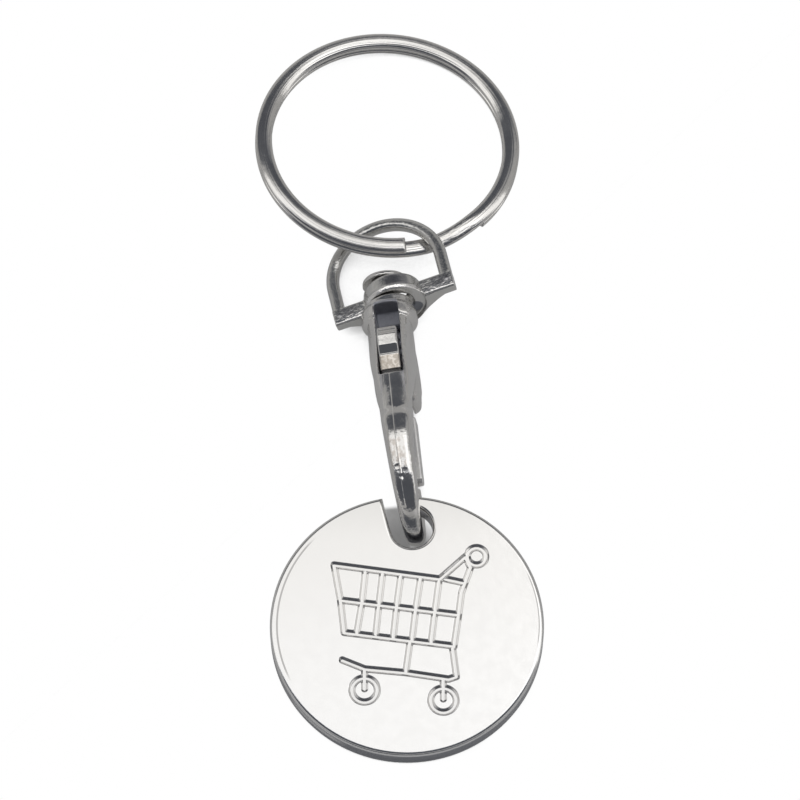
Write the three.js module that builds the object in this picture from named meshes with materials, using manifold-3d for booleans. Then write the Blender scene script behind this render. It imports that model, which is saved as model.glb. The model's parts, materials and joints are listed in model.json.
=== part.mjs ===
// Trolley coin keyring: a split ring, a swivelling D loop, a cast trigger hook and a slotted coin.
// Millimetres, +Z up. It lies on a table as it is put down: coin at the front (-Y), ring at the back.
import * as THREE from 'three';
import { mergeVertices } from 'three/addons/utils/BufferGeometryUtils.js';
import Module from 'manifold-3d';

const wasm = await Module();
wasm.setup();

// How the pieces lie on the table, with the coin's middle over x = y = 0: where the hook's bend is, how far
// the loop's middle lies from the stud's foot, and the ring's near wire from the loop's middle. Degrees.
const coinSeat = { lift: 0.02, pitch: 5.44 };
const hookSeat = { x: 0.702, y: 8.464, z: 2.970, yaw: 5.35, pitch: -2.5, lean: -8.5 };
const loopSeat = { x: 0.52, y: 1.02, z: -0.01, yaw: 11.7, pitch: -8.0, lean: -14.7 };
const ringSeat = { x: -0.57, y: 5.364, z: -0.101, yaw: 0, pitch: -4.1, lean: 4.2 };

// Coin: as large as a one euro coin, with a hole for the hook and a slot out to its rim.
const coin = {
  diameter: 23.25,
  thick: 2.3,
  edgeRound: 0.45,
  facets: 96,
  holeX: 0.48,
  holeY: 8.75,
  holeDiameter: 3.6,
  holeFacets: 28,
  slotWide: 2.65,
  slotX: -0.05,
  slotLean: 13.5,
};

// Split ring: one flat wire wound almost twice round, stepping down between its two ends.
const ring = {
  diameter: 23.85,
  wireWide: 1.5,
  wireThick: 0.6,
  wireSides: 14,
  wireFullness: 2.15,
  turnGap: 0.08,
  firstEnd: -82,
  stepArc: 38,
  rampArc: 30,
  stepsPerTurn: 60,
};

// Swivel loop: a D of round-backed wire whose bar runs through a bored collar, with webs between the two.
const loop = {
  wide: 11.2,
  high: 9.6,
  wire: 1.15,
  thick: 1.1,
  wireSides: 14,
  edgeRound: 0.25,
  archFacets: 24,
  barHigh: 1.65,
  barBelow: 0.85,
  collarDiameter: 5.2,
  collarLong: 1.8,
  collarRise: 0.35,
  collarRound: 0.4,
  footDiameter: 5.36,
  footHigh: 0.3,
  bore: 3.4,
  hubGap: 0.9,
  facets: 32,
};

// Stations out along a web: out along half the loop's width, then its low and high edge as shares of the
// bar's height, and its back and front as shares of the wire's thickness.
const webShares = [
  [0.393, -0.700, 0.120, -1.730, 0.410],
  [0.607, -0.730, 0.000, -1.090, 0.420],
  [0.839, -0.510, -0.180, -0.450, 0.430],
];

// Stud: the hook's own pin, which the collar turns on, peened over behind it.
const stud = {
  diameter: 1.7,
  headDiameter: 4.1,
  headThick: 0.5,
  headRound: 0.25,
  shoulderGap: 0.45,
  headGap: 0.3,
};

// Hook body: a round shoulder, two cheeks with a slot between them, and an arm that bends round the eye.
const hook = {
  shoulderDiameter: 5.0,
  shoulderDeep: 2.0,
  shoulderRound: 0.7,
  neckDiameter: 4.1,
  long: 22.9,
  high: 8.0,
  belly: -3.55,
  wide: 4.1,
  armSteps: 30,
  armSides: 14,
  slotWide: 2.1,
  slotRoof: 0.5,
  cheekSteps: 10,
  cheekFullness: 2.8,
  facets: 32,
};

// Lever: a gate below and a thumb tab above, rocking on one pin between the cheeks.
const lever = {
  thick: 1.76,
  gateWide: 2.3,
  gateShare: 0.445,
  edgeRound: 0.2,
  pivotAlongShare: 0.37336,
  pivotUpShare: 0.225,
};

const pin = { diameter: 1.0, fit: 0.05, runningFit: 0.08, longShare: 0.86, facets: 20 };
const spring = {
  diameter: 1.4,
  wire: 0.26,
  curls: 6,
  steps: 8,
  sides: 5,
  endGap: 0.12,
  seatShare: 0.072,
  pushShare: 0.312,
  heightShare: 0.375,
};

// How far a cutting shape runs past what it cuts, and how near two points are one.
const overrun = 1.0;
const weldWithin = 0.00001;

// Stations down the hook's arm, as shares: along its length, up its height from the belly line,
// across its full width and through its thickness as a share of the height.
const armShares = [
  [0.060, 0.475, 0.950, 0.500],
  [0.180, 0.505, 0.980, 0.560],
  [0.270, 0.580, 0.960, 0.580],
  [0.360, 0.690, 0.850, 0.500],
  [0.450, 0.805, 0.740, 0.350],
  [0.550, 0.850, 0.670, 0.290],
  [0.650, 0.850, 0.610, 0.270],
  [0.740, 0.820, 0.550, 0.245],
  [0.830, 0.732, 0.490, 0.222],
  [0.920, 0.572, 0.440, 0.208],
  [0.962, 0.345, 0.420, 0.205],
  [0.930, 0.175, 0.410, 0.215],
  [0.870, 0.098, 0.400, 0.193],
  [0.800, 0.112, 0.400, 0.180],
  [0.738, 0.146, 0.390, 0.168],
];

// Stations down the cheeks: along the length, low edge and high edge up the height, width.
const cheekShares = [
  [0.125, 0.215, 0.580, 0.850],
  [0.178, 0.150, 0.620, 0.930],
  [0.250, 0.085, 0.640, 0.970],
  [0.320, 0.050, 0.640, 0.980],
  [0.375, 0.060, 0.600, 0.950],
  [0.407, 0.105, 0.500, 0.870],
  [0.423, 0.180, 0.400, 0.700],
];

// The slot's side view: along the length and up the height.
const slotShares = [
  [0.022, 0.510],
  [0.072, 0.440],
  [0.072, 0.280],
  [0.250, 0.235],
  [0.300, 0.130],
  [0.315, -0.080],
  [0.540, -0.080],
  [0.540, 0.380],
  [0.446, 0.490],
  [0.398, 0.690],
  [0.362, 0.850],
];

// The lever's side view, as shares of the hook's length and height: gate, hub, then thumb tab.
const leverShares = [
  [0.385, 0.068],
  [0.700, 0.066],
  [0.716, 0.090],
  [0.723, 0.130],
  [0.720, 0.190],
  [0.706, 0.222],
  [0.460, 0.262],
  [0.423, 0.360],
  [0.384, 0.600],
  [0.352, 0.800],
  [0.347, 0.905],
  [0.286, 0.917],
  [0.250, 0.970],
  [0.205, 0.978],
  [0.169, 0.940],
  [0.173, 0.880],
  [0.207, 0.780],
  [0.262, 0.650],
  [0.298, 0.480],
  [0.324, 0.300],
  [0.330, 0.160],
];

const rad = THREE.MathUtils.degToRad;

function paint(name, colour, roughness) {
  return new THREE.MeshStandardMaterial({ name, color: colour, roughness, metalness: 1 });
}

function weld(geometry) {
  const copy = geometry.clone();
  copy.deleteAttribute('normal');
  copy.deleteAttribute('uv');
  return mergeVertices(copy, weldWithin);
}

function solid(geometry) {
  const welded = weld(geometry);
  return new wasm.Manifold(new wasm.Mesh({
    numProp: 3,
    vertProperties: new Float32Array(welded.attributes.position.array),
    triVerts: new Uint32Array(welded.index.array),
  }));
}

function skin(body) {
  const mesh = body.getMesh();
  const geometry = new THREE.BufferGeometry();
  geometry.setAttribute('position', new THREE.BufferAttribute(new Float32Array(mesh.vertProperties), 3));
  geometry.setIndex(new THREE.BufferAttribute(new Uint32Array(mesh.triVerts), 1));
  geometry.computeVertexNormals();
  return geometry;
}

function piece(name, geometry, material) {
  const mesh = new THREE.Mesh(geometry, material);
  mesh.name = name;
  return mesh;
}

// A closed skin drawn over rings of points, each ring with as many points, capped at both ends.
function loft(rings) {
  const sides = rings[0].length;
  const points = rings.flat();
  const ends = [rings[0], rings.at(-1)];
  const caps = ends.map((end) => {
    const middle = end.reduce((sum, p) => sum.add(p), new THREE.Vector3());
    return points.push(middle.divideScalar(sides)) - 1;
  });
  const faces = [];
  for (let r = 0; r + 1 < rings.length; r += 1) {
    for (let k = 0; k < sides; k += 1) {
      const a = r * sides + k;
      const b = r * sides + (k + 1) % sides;
      faces.push(a, b, b + sides, a, b + sides, a + sides);
    }
  }
  const last = (rings.length - 1) * sides;
  for (let k = 0; k < sides; k += 1) {
    const next = (k + 1) % sides;
    faces.push(caps[0], next, k, caps[1], last + k, last + next);
  }
  const geometry = new THREE.BufferGeometry().setFromPoints(points);
  geometry.setIndex(faces);
  geometry.computeVertexNormals();
  return geometry;
}

// A rounded outline: a full ellipse at fullness 2, squarer above it.
function oval(wide, high, sides, fullness = 2.4) {
  const soft = (value) => Math.sign(value) * Math.abs(value) ** (2 / fullness);
  return Array.from({ length: sides }, (_, k) => {
    const turn = ((k + 0.5) / sides) * 2 * Math.PI;
    return new THREE.Vector2(soft(Math.cos(turn)) * wide / 2, soft(Math.sin(turn)) * high / 2);
  });
}

// A rectangle with round corners, centred, each corner an arc of a few points.
function roundBox(wide, high, round, steps) {
  const corners = [[1, 1, 0], [-1, 1, 90], [-1, -1, 180], [1, -1, 270]];
  return corners.flatMap(([sx, sy, from]) => Array.from({ length: steps + 1 }, (_, k) => {
    const turn = rad(from + (90 * k) / steps);
    return new THREE.Vector2(
      sx * (wide / 2 - round) + round * Math.cos(turn),
      sy * (high / 2 - round) + round * Math.sin(turn),
    );
  }));
}

// A side view in the y-z plane, pulled across x with its edges rounded by a bevel.
function slab(outline, wide, round = 0) {
  const shape = new THREE.Shape(outline.map(([y, z]) => new THREE.Vector2(y, z)));
  const geometry = new THREE.ExtrudeGeometry(shape, {
    depth: wide - 2 * round,
    bevelEnabled: round > 0,
    bevelSize: round,
    bevelThickness: round,
    bevelOffset: -round,
    bevelSegments: 2,
  });
  geometry.translate(0, 0, round - wide / 2);
  return geometry.applyMatrix4(new THREE.Matrix4().makeBasis(
    new THREE.Vector3(0, 1, 0),
    new THREE.Vector3(0, 0, 1),
    new THREE.Vector3(1, 0, 0),
  ));
}

function drum(radius, long, facets) {
  return new THREE.CylinderGeometry(radius, radius, long, facets);
}

// A piece turned about the y axis, from [radius, y] pairs.
function turned(profile, facets) {
  return new THREE.LatheGeometry(profile.map(([r, y]) => new THREE.Vector2(r, y)), facets);
}

function arc(centreR, centreY, radius, from, to, steps) {
  return Array.from({ length: steps + 1 }, (_, k) => {
    const turn = rad(from + ((to - from) * k) / steps);
    return [centreR + radius * Math.cos(turn), centreY + radius * Math.sin(turn)];
  });
}

// A place down the hook: its shoulder face is y = 0 and the swivel's axis is z = 0.
const downHook = (along) => -along * hook.long;
const upHook = (up) => hook.belly + up * hook.high;
const pivotY = downHook(lever.pivotAlongShare);
const pivotZ = upHook(lever.pivotUpShare);

function makeCoin() {
  const r = coin.diameter / 2;
  const half = coin.thick / 2;
  const e = coin.edgeRound;
  const disc = solid(turned([
    [0, -half],
    ...arc(r - e, e - half, e, -90, 0, 3),
    ...arc(r - e, half - e, e, 0, 90, 3),
    [0, half],
  ], coin.facets).rotateX(Math.PI / 2));
  const tall = coin.thick + 2 * overrun;
  const hole = solid(drum(coin.holeDiameter / 2, tall, coin.holeFacets).rotateX(Math.PI / 2)
    .translate(coin.holeX, coin.holeY, 0));
  const slotLong = r;
  const slot = solid(new THREE.BoxGeometry(coin.slotWide, slotLong, tall).translate(0, slotLong / 2, 0)
    .rotateZ(rad(coin.slotLean)).translate(coin.slotX, coin.holeY, 0));
  return skin(disc.subtract(hole.add(slot)));
}

function makeSplitRing() {
  const section = oval(ring.wireWide, ring.wireThick, ring.wireSides, ring.wireFullness);
  const level = (ring.wireThick + ring.turnGap) / 2;
  const middle = (ring.diameter - ring.wireWide) / 2;
  const full = 360 - ring.stepArc;
  const sweep = 2 * full + ring.stepArc;
  const steps = Math.round((sweep / 360) * ring.stepsPerTurn);
  const rings = Array.from({ length: steps + 1 }, (_, k) => {
    const gone = (sweep * k) / steps;
    const turn = rad(ring.firstEnd - gone);
    const down = THREE.MathUtils.smoothstep(gone, full, full + ring.rampArc);
    const height = level * (1 - 2 * down);
    const out = new THREE.Vector3(Math.cos(turn), Math.sin(turn), 0);
    return section.map((p) => out.clone().multiplyScalar(middle + p.x).setZ(height + p.y));
  });
  return loft(rings);
}

// The D's wire from the bar up one leg, over the arch and down the other: a place, then the way out.
function bowStations(floor) {
  const middle = (loop.wide - loop.wire) / 2;
  const legTop = floor + loop.high - loop.wide / 2;
  const foot = floor + loop.barHigh / 2;
  const arch = arc(0, legTop, middle, 180, 0, loop.archFacets)
    .map(([x, y]) => [x, y, x / middle, (y - legTop) / middle]);
  return [[-middle, foot, -1, 0], ...arch, [middle, foot, 1, 0]];
}

function makeLoop() {
  const half = loop.wide / 2;
  const floor = -loop.barBelow;
  const section = oval(loop.wire, loop.thick, loop.wireSides);
  const bow = solid(loft(bowStations(floor).map(([x, y, outX, outY]) => section
    .map((p) => new THREE.Vector3(x + outX * p.x, y + outY * p.x, p.y)))));
  const barSection = roundBox(loop.barHigh, loop.thick, loop.edgeRound, 2);
  const bar = solid(loft([-half, half].map((x) => barSection
    .map((p) => new THREE.Vector3(x, floor + loop.barHigh / 2 + p.x, p.y)))));
  const r = loop.collarDiameter / 2;
  const foot = loop.collarRise - loop.collarLong / 2;
  const top = foot + loop.collarLong;
  const e = loop.collarRound;
  const collar = solid(turned([
    [0, foot],
    [r, foot],
    [loop.footDiameter / 2, foot + loop.footHigh / 2],
    [r, foot + loop.footHigh],
    ...arc(r - e, top - e, e, 0, 90, 3),
    [0, top],
  ], loop.facets));
  const web = webShares.map(([out, low, high, back, front]) => {
    const corners = [[low, back], [high, back], [high, front], [low, front]];
    return corners.map(([y, z]) => new THREE.Vector3(out * half, y * loop.barHigh, z * loop.thick));
  });
  const otherWeb = web.map((corners) => corners.map((p) => p.clone().setX(-p.x))).reverse();
  const bore = solid(drum(loop.bore / 2, loop.collarLong + 2 * overrun, loop.facets)
    .translate(0, loop.collarRise, 0));
  const room = solid(drum(hook.shoulderDiameter / 2 + loop.hubGap, loop.high, loop.facets)
    .translate(0, foot - loop.high / 2, 0));
  const whole = bow.add(bar).add(collar).add(solid(loft(web))).add(solid(loft(otherWeb)));
  return skin(whole.subtract(bore).subtract(room));
}

function armRing([along, up, wide, thick], before, after) {
  const middle = new THREE.Vector3(0, downHook(along), upHook(up));
  const down = downHook(after[0]) - downHook(before[0]);
  const rise = upHook(after[1]) - upHook(before[1]);
  const side = new THREE.Vector3(0, rise, -down).normalize();
  return oval(wide * hook.wide, thick * hook.high, hook.armSides)
    .map((p) => middle.clone().addScaledVector(side, p.y).setX(p.x));
}

// Smooth stations between the ones given, on one curve through each column of shares.
function between(shares, steps) {
  const columns = shares[0].map((_, c) => new THREE.CatmullRomCurve3(
    shares.map((row, k) => new THREE.Vector3(row[c], k, 0)),
    false,
    'catmullrom',
  ));
  return Array.from({ length: steps + 1 }, (_, k) => columns.map((curve) => curve.getPoint(k / steps).x));
}

function makeArm() {
  const stations = between(armShares, hook.armSteps);
  return loft(stations.map((row, k) => armRing(
    row,
    stations[Math.max(k - 1, 0)],
    stations[Math.min(k + 1, stations.length - 1)],
  )));
}

function makeCheeks() {
  const stations = between(cheekShares, hook.cheekSteps);
  return loft(stations.map(([along, low, high, wide]) => oval(
    wide * hook.wide,
    (high - low) * hook.high,
    hook.armSides,
    hook.cheekFullness,
  ).map((p) => new THREE.Vector3(p.x, downHook(along), upHook((low + high) / 2) + p.y))));
}

function makeHookBody() {
  const r = hook.shoulderDiameter / 2;
  const e = hook.shoulderRound;
  const deep = hook.shoulderDeep;
  const neck = hook.neckDiameter / 2;
  const collarTop = stud.shoulderGap + loop.collarLong + stud.headGap;
  const headTop = collarTop + stud.headThick;
  const head = stud.headDiameter / 2;
  const shoulder = solid(turned([
    [0, -deep - neck],
    [neck - e, -deep - neck],
    [neck, -deep],
    ...arc(r - e, e - deep, e, -60, 0, 2),
    ...arc(r - e, -e, e, 0, 90, 3),
    [stud.diameter / 2, 0],
    [stud.diameter / 2, collarTop],
    [head, collarTop],
    ...arc(head - stud.headRound, headTop - stud.headRound, stud.headRound, 0, 90, 3),
    [0, headTop],
  ], hook.facets));
  const slotOutline = slotShares.map(([along, up]) => [downHook(along), upHook(up)]);
  const mouth = downHook(slotShares.at(-1)[0]);
  slotOutline.push([mouth, upHook(1) + overrun]);
  slotOutline.push([-hook.slotRoof, upHook(1) + overrun]);
  const slot = solid(slab(slotOutline, hook.slotWide));
  const bore = solid(drum(pin.diameter / 2 + pin.fit, 2 * hook.wide, pin.facets)
    .rotateZ(Math.PI / 2).translate(0, pivotY, pivotZ));
  return skin(shoulder.add(solid(makeArm())).add(solid(makeCheeks())).subtract(slot).subtract(bore));
}

function makeLever() {
  const outline = leverShares.map(([along, up]) => [downHook(along), upHook(up)]);
  const bore = solid(drum(pin.diameter / 2 + pin.runningFit, lever.thick + 2 * overrun, pin.facets)
    .rotateZ(Math.PI / 2).translate(0, pivotY, pivotZ));
  const from = downHook(lever.gateShare);
  const gate = outline.filter(([y]) => y <= from);
  gate.push([from, gate.at(-1)[1]], [from, gate[0][1]]);
  const plate = solid(slab(outline, lever.thick, lever.edgeRound));
  return skin(plate.add(solid(slab(gate, lever.gateWide, lever.edgeRound))).subtract(bore));
}

function makePin() {
  return weld(drum(pin.diameter / 2, hook.wide * pin.longShare, pin.facets)
    .rotateZ(Math.PI / 2).translate(0, pivotY, pivotZ));
}

// The spring's middle line: a straight end, the curls, and a straight end again.
function springLine() {
  const straight = spring.wire;
  const from = downHook(spring.seatShare) - spring.endGap;
  const to = downHook(spring.pushShare) + spring.endGap;
  const height = upHook(spring.heightShare);
  const mid = (spring.diameter - spring.wire) / 2;
  const steps = spring.curls * spring.steps;
  const curls = Array.from({ length: steps + 1 }, (_, k) => {
    const turn = (k / spring.steps) * 2 * Math.PI;
    const y = THREE.MathUtils.lerp(from - straight, to + straight, k / steps);
    return new THREE.Vector3(mid * Math.cos(turn), y, height + mid * Math.sin(turn));
  });
  return [curls[0].clone().setY(from), ...curls, curls.at(-1).clone().setY(to)];
}

function makeSpring() {
  const line = springLine();
  const runs = line.slice(1).map((p, k) => p.clone().sub(line[k]).normalize());
  let side = new THREE.Vector3(1, 0, 0);
  const rings = line.map((p, k) => {
    const before = runs[Math.max(k - 1, 0)];
    const after = runs[Math.min(k, runs.length - 1)];
    const along = before.clone().add(after).normalize();
    side = side.clone().addScaledVector(along, -side.dot(along)).normalize();
    const up = along.clone().cross(side);
    return Array.from({ length: spring.sides }, (_, s) => {
      const around = (s / spring.sides) * 2 * Math.PI;
      return p.clone().addScaledVector(side, (spring.wire / 2) * Math.cos(around))
        .addScaledVector(up, (spring.wire / 2) * Math.sin(around));
    });
  });
  return loft(rings);
}

// The least room between one curl and the next, over points half a curl or more apart on the line.
function springGap() {
  const line = springLine();
  const half = spring.steps / 2;
  const spans = line.flatMap((p, k) => line.slice(k + half).map((q) => p.distanceTo(q)));
  return Math.min(...spans) - spring.wire;
}

// Turns the group as its seat says and puts its own point held at the place, moved by the seat's x, y, z.
function seat(group, at, place = new THREE.Vector3(), held = new THREE.Vector3()) {
  group.rotation.set(rad(at.pitch), rad(at.lean), rad(at.yaw), 'ZXY');
  group.position.set(at.x, at.y, at.z).add(place).sub(held.clone().applyEuler(group.rotation));
  return group;
}

const nickel = (name) => paint(name, '#c9c7c2', 0.12);

const coinRise = Math.sin(rad(coinSeat.pitch)) * coin.diameter / 2;
const coinMiddle = coinSeat.lift + coinRise + Math.cos(rad(coinSeat.pitch)) * coin.thick / 2;
const coinGroup = new THREE.Group();
coinGroup.rotation.x = rad(coinSeat.pitch);
coinGroup.position.z = coinMiddle;
const [bendAlong, bendUp] = armShares[10];
const bend = new THREE.Vector3(0, downHook(bendAlong), upHook(bendUp));
const hookGroup = seat(new THREE.Group(), hookSeat, undefined, bend);
const loopGroup = seat(new THREE.Group(), loopSeat, hookGroup.position);
const nearWire = new THREE.Vector3(0, (ring.wireWide - ring.diameter) / 2, 0);
const ringGroup = seat(new THREE.Group(), ringSeat, loopGroup.position, nearWire);

coinGroup.add(piece('coin', makeCoin(), nickel('coin')));
hookGroup.add(
  piece('hook_body', makeHookBody(), nickel('hook')),
  piece('gate_lever', makeLever(), nickel('lever')),
  piece('pivot_pin', makePin(), paint('pin', '#a9a7a3', 0.2)),
  piece('gate_spring', makeSpring(), paint('spring', '#8f8f90', 0.3)),
);
loopGroup.add(piece('swivel_loop', makeLoop(), nickel('loop')));
ringGroup.add(piece('split_ring', makeSplitRing(), nickel('ring')));
console.log(`gate_spring: least gap to itself ${springGap().toFixed(3)} mm`);

// The origin goes to the table under the middle of the whole keyring.
const keyring = new THREE.Group().add(coinGroup, hookGroup, loopGroup, ringGroup);
keyring.updateMatrixWorld(true);
const extent = new THREE.Box3().setFromObject(keyring, true);
const middle = extent.getCenter(new THREE.Vector3());
keyring.position.set(-middle.x, -middle.y, -extent.min.z);

export default keyring;
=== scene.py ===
import bpy
import bmesh
import json
import math
import numpy as np
from mathutils import Matrix, Vector
from mathutils.geometry import delaunay_2d_cdt


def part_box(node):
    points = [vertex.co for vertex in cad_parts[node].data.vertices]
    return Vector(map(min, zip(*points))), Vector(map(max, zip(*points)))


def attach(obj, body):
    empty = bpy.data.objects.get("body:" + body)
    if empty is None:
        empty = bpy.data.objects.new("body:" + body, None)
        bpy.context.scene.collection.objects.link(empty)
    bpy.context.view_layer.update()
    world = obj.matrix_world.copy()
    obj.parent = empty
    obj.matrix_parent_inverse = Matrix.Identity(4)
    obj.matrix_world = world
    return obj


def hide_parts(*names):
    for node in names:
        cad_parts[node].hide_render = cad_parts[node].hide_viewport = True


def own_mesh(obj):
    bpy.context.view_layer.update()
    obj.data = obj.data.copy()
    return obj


# A trolley coin keyring: split ring, swivelling D loop, cast trigger hook and a stamped coin, nickel
# plated. Shapes are made in millimetres, each in its own frame, and seated where the CAD has them.
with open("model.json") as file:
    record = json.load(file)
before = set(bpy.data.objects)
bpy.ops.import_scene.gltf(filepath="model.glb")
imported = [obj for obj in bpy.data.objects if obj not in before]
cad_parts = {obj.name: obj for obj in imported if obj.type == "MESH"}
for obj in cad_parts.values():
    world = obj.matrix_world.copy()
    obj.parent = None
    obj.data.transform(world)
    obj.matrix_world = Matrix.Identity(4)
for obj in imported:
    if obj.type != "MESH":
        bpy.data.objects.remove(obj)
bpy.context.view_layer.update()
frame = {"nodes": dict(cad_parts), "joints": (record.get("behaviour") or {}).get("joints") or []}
joints = {joint["name"]: joint for joint in frame["joints"]}
print("frame loaded:", ", ".join(sorted(frame["nodes"])))

scene = bpy.context.scene
scene.view_settings.view_transform = "Standard"


# shader maths
class Wire:
    # one socket of a node tree, so that a mask or a colour is written as maths
    def __init__(self, tree, socket):
        self.tree = tree
        self.socket = socket

    def make(self, kind, settings=None, values=None, out=0):
        return makeNode(self.tree, kind, settings, values, out)

    def maths(self, operation, *values):
        return self.make("ShaderNodeMath", {"operation": operation}, dict(enumerate(values)))

    def __add__(self, other): return self.maths("ADD", self, other)
    def __radd__(self, other): return self.maths("ADD", other, self)
    def __sub__(self, other): return self.maths("SUBTRACT", self, other)
    def __rsub__(self, other): return self.maths("SUBTRACT", other, self)
    def __mul__(self, other): return self.maths("MULTIPLY", self, other)
    def __rmul__(self, other): return self.maths("MULTIPLY", other, self)
    def __truediv__(self, other): return self.maths("DIVIDE", self, other)
    def __pow__(self, other): return self.maths("POWER", self, other)
    def __abs__(self): return self.maths("ABSOLUTE", self)

    def step(self, low, high):  # 0 below low, 1 above high, smooth between
        return self.make("ShaderNodeMapRange", {"interpolation_type": "SMOOTHSTEP"},
                         {"Value": self, "From Min": low, "From Max": high})

    def inside(self, low, high, soft):  # 1 between low and high, fading over soft at each end
        return self.step(low - soft, low) * (1 - self.step(high, high + soft))

    def parts(self):
        node = self.make("ShaderNodeSeparateXYZ", None, {0: self}).socket.node
        return [Wire(self.tree, socket) for socket in node.outputs]


def makeNode(tree, kind, settings=None, values=None, out=0):
    node = tree.nodes.new(kind)
    for name, value in (settings or {}).items():
        if name == "stops":
            ramp = node.color_ramp
            while len(ramp.elements) < len(value):
                ramp.elements.new(0.5)
            for element, (place, colour) in zip(ramp.elements, value):
                element.position = place
                element.color = (*colour, 1)
        else:
            setattr(node, name, value)
    for name, value in (values or {}).items():
        if isinstance(value, Wire):
            tree.links.new(value.socket, node.inputs[name])
        else:
            node.inputs[name].default_value = value
    return Wire(tree, node.outputs[out])


def mixColour(mask, first, second, kind="MIX"):
    tree = next(value.tree for value in (mask, first, second) if isinstance(value, Wire))
    pair = [value if isinstance(value, Wire) else (*value, 1) for value in (first, second)]
    return makeNode(tree, "ShaderNodeMix", {"data_type": "RGBA", "blend_type": kind},
                    {0: mask, 6: pair[0], 7: pair[1]}, out=2)


def newTree(owner):
    owner.use_nodes = True
    owner.node_tree.nodes.clear()
    return owner.node_tree


def finishTree(tree, kind, shader):
    tree.links.new(shader.socket, tree.nodes.new(kind).inputs["Surface"])


def noiseAt(place, scale, detail, distortion=0.0, settings=None):
    # clouds over a place given by its sockets, in millimetres
    at = place[0].make("ShaderNodeCombineXYZ", None, dict(enumerate(place)))
    return at.make("ShaderNodeTexNoise", settings,
                   {"Vector": at, "Scale": scale, "Detail": detail, "Distortion": distortion})


# shapes in millimetres
def turnBy(degrees, axis):
    return Matrix.Rotation(math.radians(degrees), 4, axis)


def seatAt(origin, yaw=0, pitch=0, lean=0):
    return Matrix.Translation(origin) @ turnBy(yaw, "Z") @ turnBy(pitch, "X") @ turnBy(lean, "Y")


def seatOn(joint, local, **angles):
    # the frame whose point local is the place of a joint of the CAD
    turned = seatAt((0, 0, 0), **angles)
    place = Vector(joints[joint]["pos_m"]) * 1000
    return Matrix.Translation(place - turned @ Vector(local)) @ turned


def meshOf(name, points, faces):
    mesh = bpy.data.meshes.new(name)
    mesh.from_pydata([tuple(p) for p in np.asarray(points, float)], [], [tuple(f) for f in faces])
    mesh.validate()
    mesh.update()
    return mesh


def objectOf(name, mesh):
    item = bpy.data.objects.new(name, mesh)
    scene.collection.objects.link(item)
    return item


def turnOutwards(mesh):
    shape = bmesh.new()
    shape.from_mesh(mesh)
    bmesh.ops.recalc_face_normals(shape, faces=shape.faces)
    shape.to_mesh(mesh)
    shape.free()
    return mesh


def loft(name, rings):
    # a skin over rings of points, with a flat cap at each end
    rings = np.asarray(rings, float)
    count, sides = rings.shape[:2]
    faces = []
    for r in range(count - 1):
        for k in range(sides):
            after = (k + 1) % sides
            faces.append((r * sides + k, r * sides + after, (r + 1) * sides + after, (r + 1) * sides + k))
    faces.append(tuple(range(sides))[::-1])
    faces.append(tuple((count - 1) * sides + k for k in range(sides)))
    return turnOutwards(meshOf(name, rings.reshape(-1, 3), faces))


def turned(name, profile, facets):
    # a piece turned about the y axis from [radius, y] pairs, the first and last on the axis
    angles = np.arange(facets) * 2 * math.pi / facets
    rings = [[(r * math.cos(a), y, r * math.sin(a)) for a in angles] for r, y in profile if r > 0]
    return loft(name, rings)


def oval(wide, high, sides, fullness=2.4):
    angles = (np.arange(sides) + 0.5) / sides * 2 * math.pi
    c, s = np.cos(angles), np.sin(angles)
    return np.stack([np.sign(c) * abs(c) ** (2 / fullness) * wide / 2,
                     np.sign(s) * abs(s) ** (2 / fullness) * high / 2], 1)


def roundBox(wide, high, radius, steps):
    points = []
    for sx, sy, start in ((1, 1, 0), (-1, 1, 90), (-1, -1, 180), (1, -1, 270)):
        for k in range(steps + 1):
            a = math.radians(start + 90 * k / steps)
            points.append((sx * (wide / 2 - radius) + radius * math.cos(a),
                           sy * (high / 2 - radius) + radius * math.sin(a)))
    return np.array(points)


def arc(centreR, centreY, radius, start, end, steps):
    return [(centreR + radius * math.cos(math.radians(start + (end - start) * k / steps)),
             centreY + radius * math.sin(math.radians(start + (end - start) * k / steps)))
            for k in range(steps + 1)]


def slab(name, outline, wide):
    # a side view in the y-z plane, pulled across x
    return loft(name, [[(side * wide / 2, y, z) for y, z in outline] for side in (-1, 1)])


def between(rows, steps):
    # smooth rows between the ones given, on one curve through each column
    rows = np.asarray(rows, float)
    padded = np.vstack([2 * rows[0] - rows[1], rows, 2 * rows[-1] - rows[-2]])
    result = []
    for t in np.linspace(0, len(rows) - 1, steps + 1):
        k = min(int(t), len(rows) - 2)
        f = t - k
        a, b, c, d = padded[k:k + 4]
        result.append(0.5 * (2 * b + (c - a) * f + (2 * a - 5 * b + 4 * c - d) * f * f
                             + (3 * b - a - 3 * c + d) * f ** 3))
    return np.array(result)


def applied(item):
    # the object's mesh with its modifiers in it, and the modifiers gone
    depsgraph = bpy.context.evaluated_depsgraph_get()
    mesh = bpy.data.meshes.new_from_object(item.evaluated_get(depsgraph))
    item.modifiers.clear()
    old = item.data
    item.data = mesh
    bpy.data.meshes.remove(old)


def cast(name, adds, cuts, voxel, smooth):
    # one casting: shapes joined and cut, then skinned again evenly, so that every edge is soft
    body = objectOf(name, adds[0])
    spare = []
    for operation, meshes in (("UNION", adds[1:]), ("DIFFERENCE", cuts)):
        for k, mesh in enumerate(meshes):
            tool = objectOf(f"{name}.{operation}{k}", mesh)
            spare.append(tool)
            modifier = body.modifiers.new("join", "BOOLEAN")
            modifier.operation = operation
            modifier.solver = "EXACT"
            modifier.object = tool
    remesh = body.modifiers.new("skin", "REMESH")
    remesh.mode = "VOXEL"
    remesh.voxel_size = voxel
    soft = body.modifiers.new("soft", "SMOOTH")
    soft.factor = 0.5
    soft.iterations = smooth
    applied(body)
    for tool in spare:
        bpy.data.objects.remove(tool)
    return body


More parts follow.
